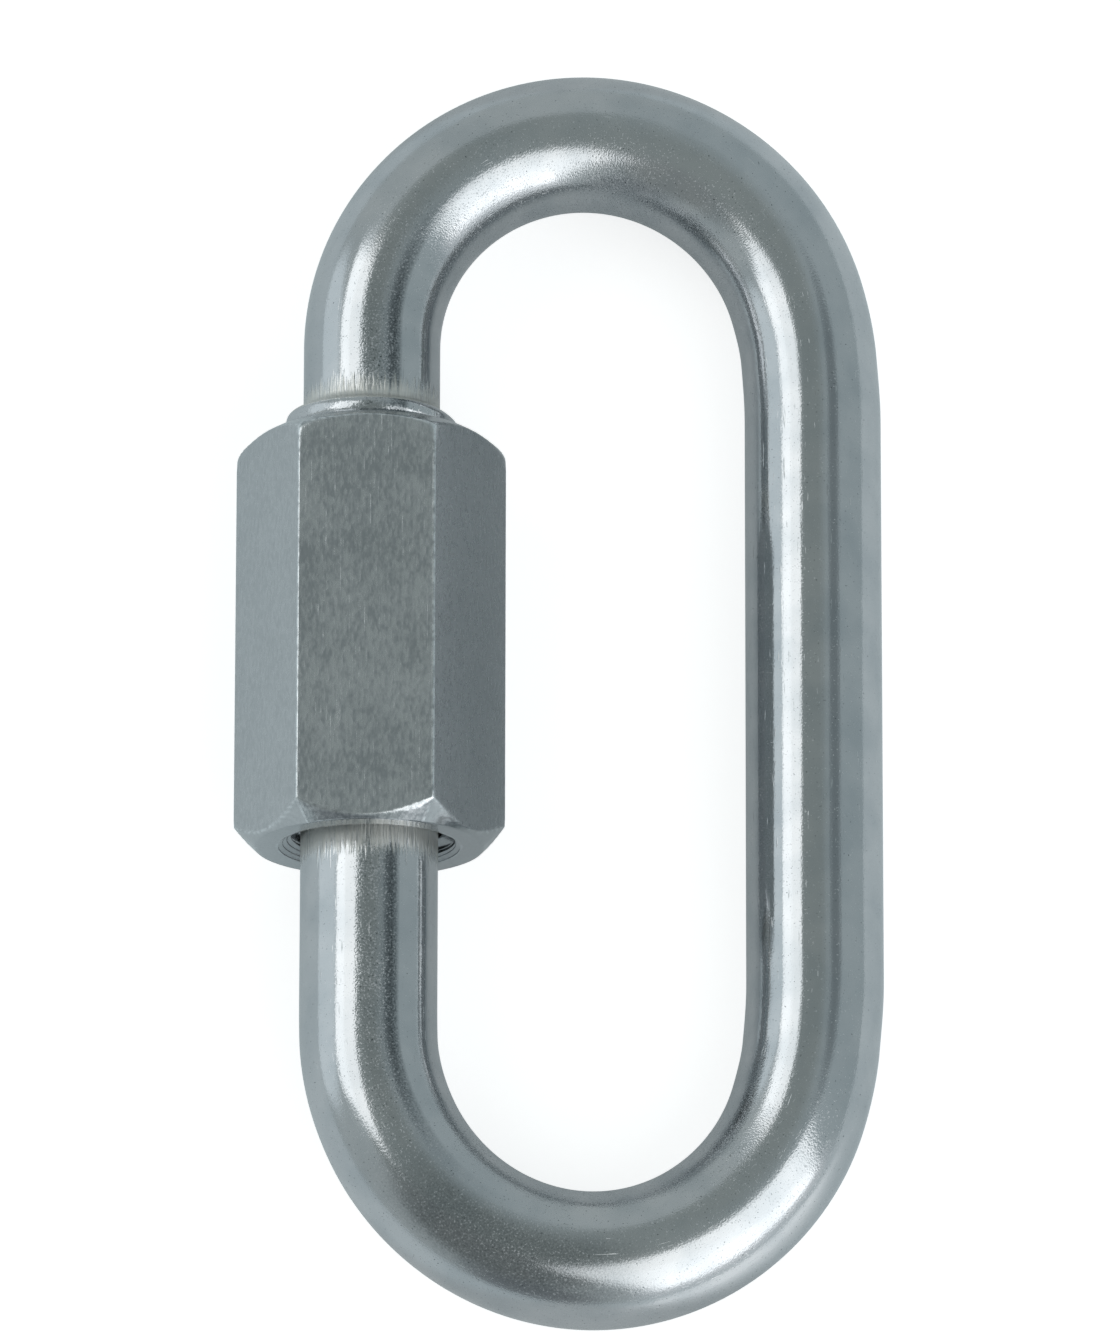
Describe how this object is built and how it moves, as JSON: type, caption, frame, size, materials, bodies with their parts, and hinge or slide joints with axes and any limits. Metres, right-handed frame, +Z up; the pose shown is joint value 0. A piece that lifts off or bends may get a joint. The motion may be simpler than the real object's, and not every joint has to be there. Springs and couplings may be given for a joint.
{
  "type": "chain quick link",
  "caption": "Oval quick link of round zinc-plated steel rod, open in one long side, whose threaded ends are bridged by a hexagonal sleeve nut that runs down to open the gate.",
  "frame": {"origin": "bottom centre of the bounding box, on the table that the link lies on", "axes": "+Y along the loop, away from the end that the nut opens towards; +Z up from the table; the nut is on the -X side"},
  "size_m": [0.0378, 0.0754, 0.0137],
  "materials": {
    "zinc_rod": "bright zinc-plated round bar, tumbled smooth",
    "zinc_nut": "bright zinc-plated drawn hexagon bar, fine scratches along the flats"
  },
  "bodies": {
    "link": {"link_body": "zinc_rod"},
    "nut": {"sleeve_nut": "zinc_nut"}
  },
  "joints": [
    {"name": "nut_travel", "type": "slide", "parent": "link", "child": "nut", "axis": [0, -1, 0], "range_m": [0, 0.01375]}
  ]
}
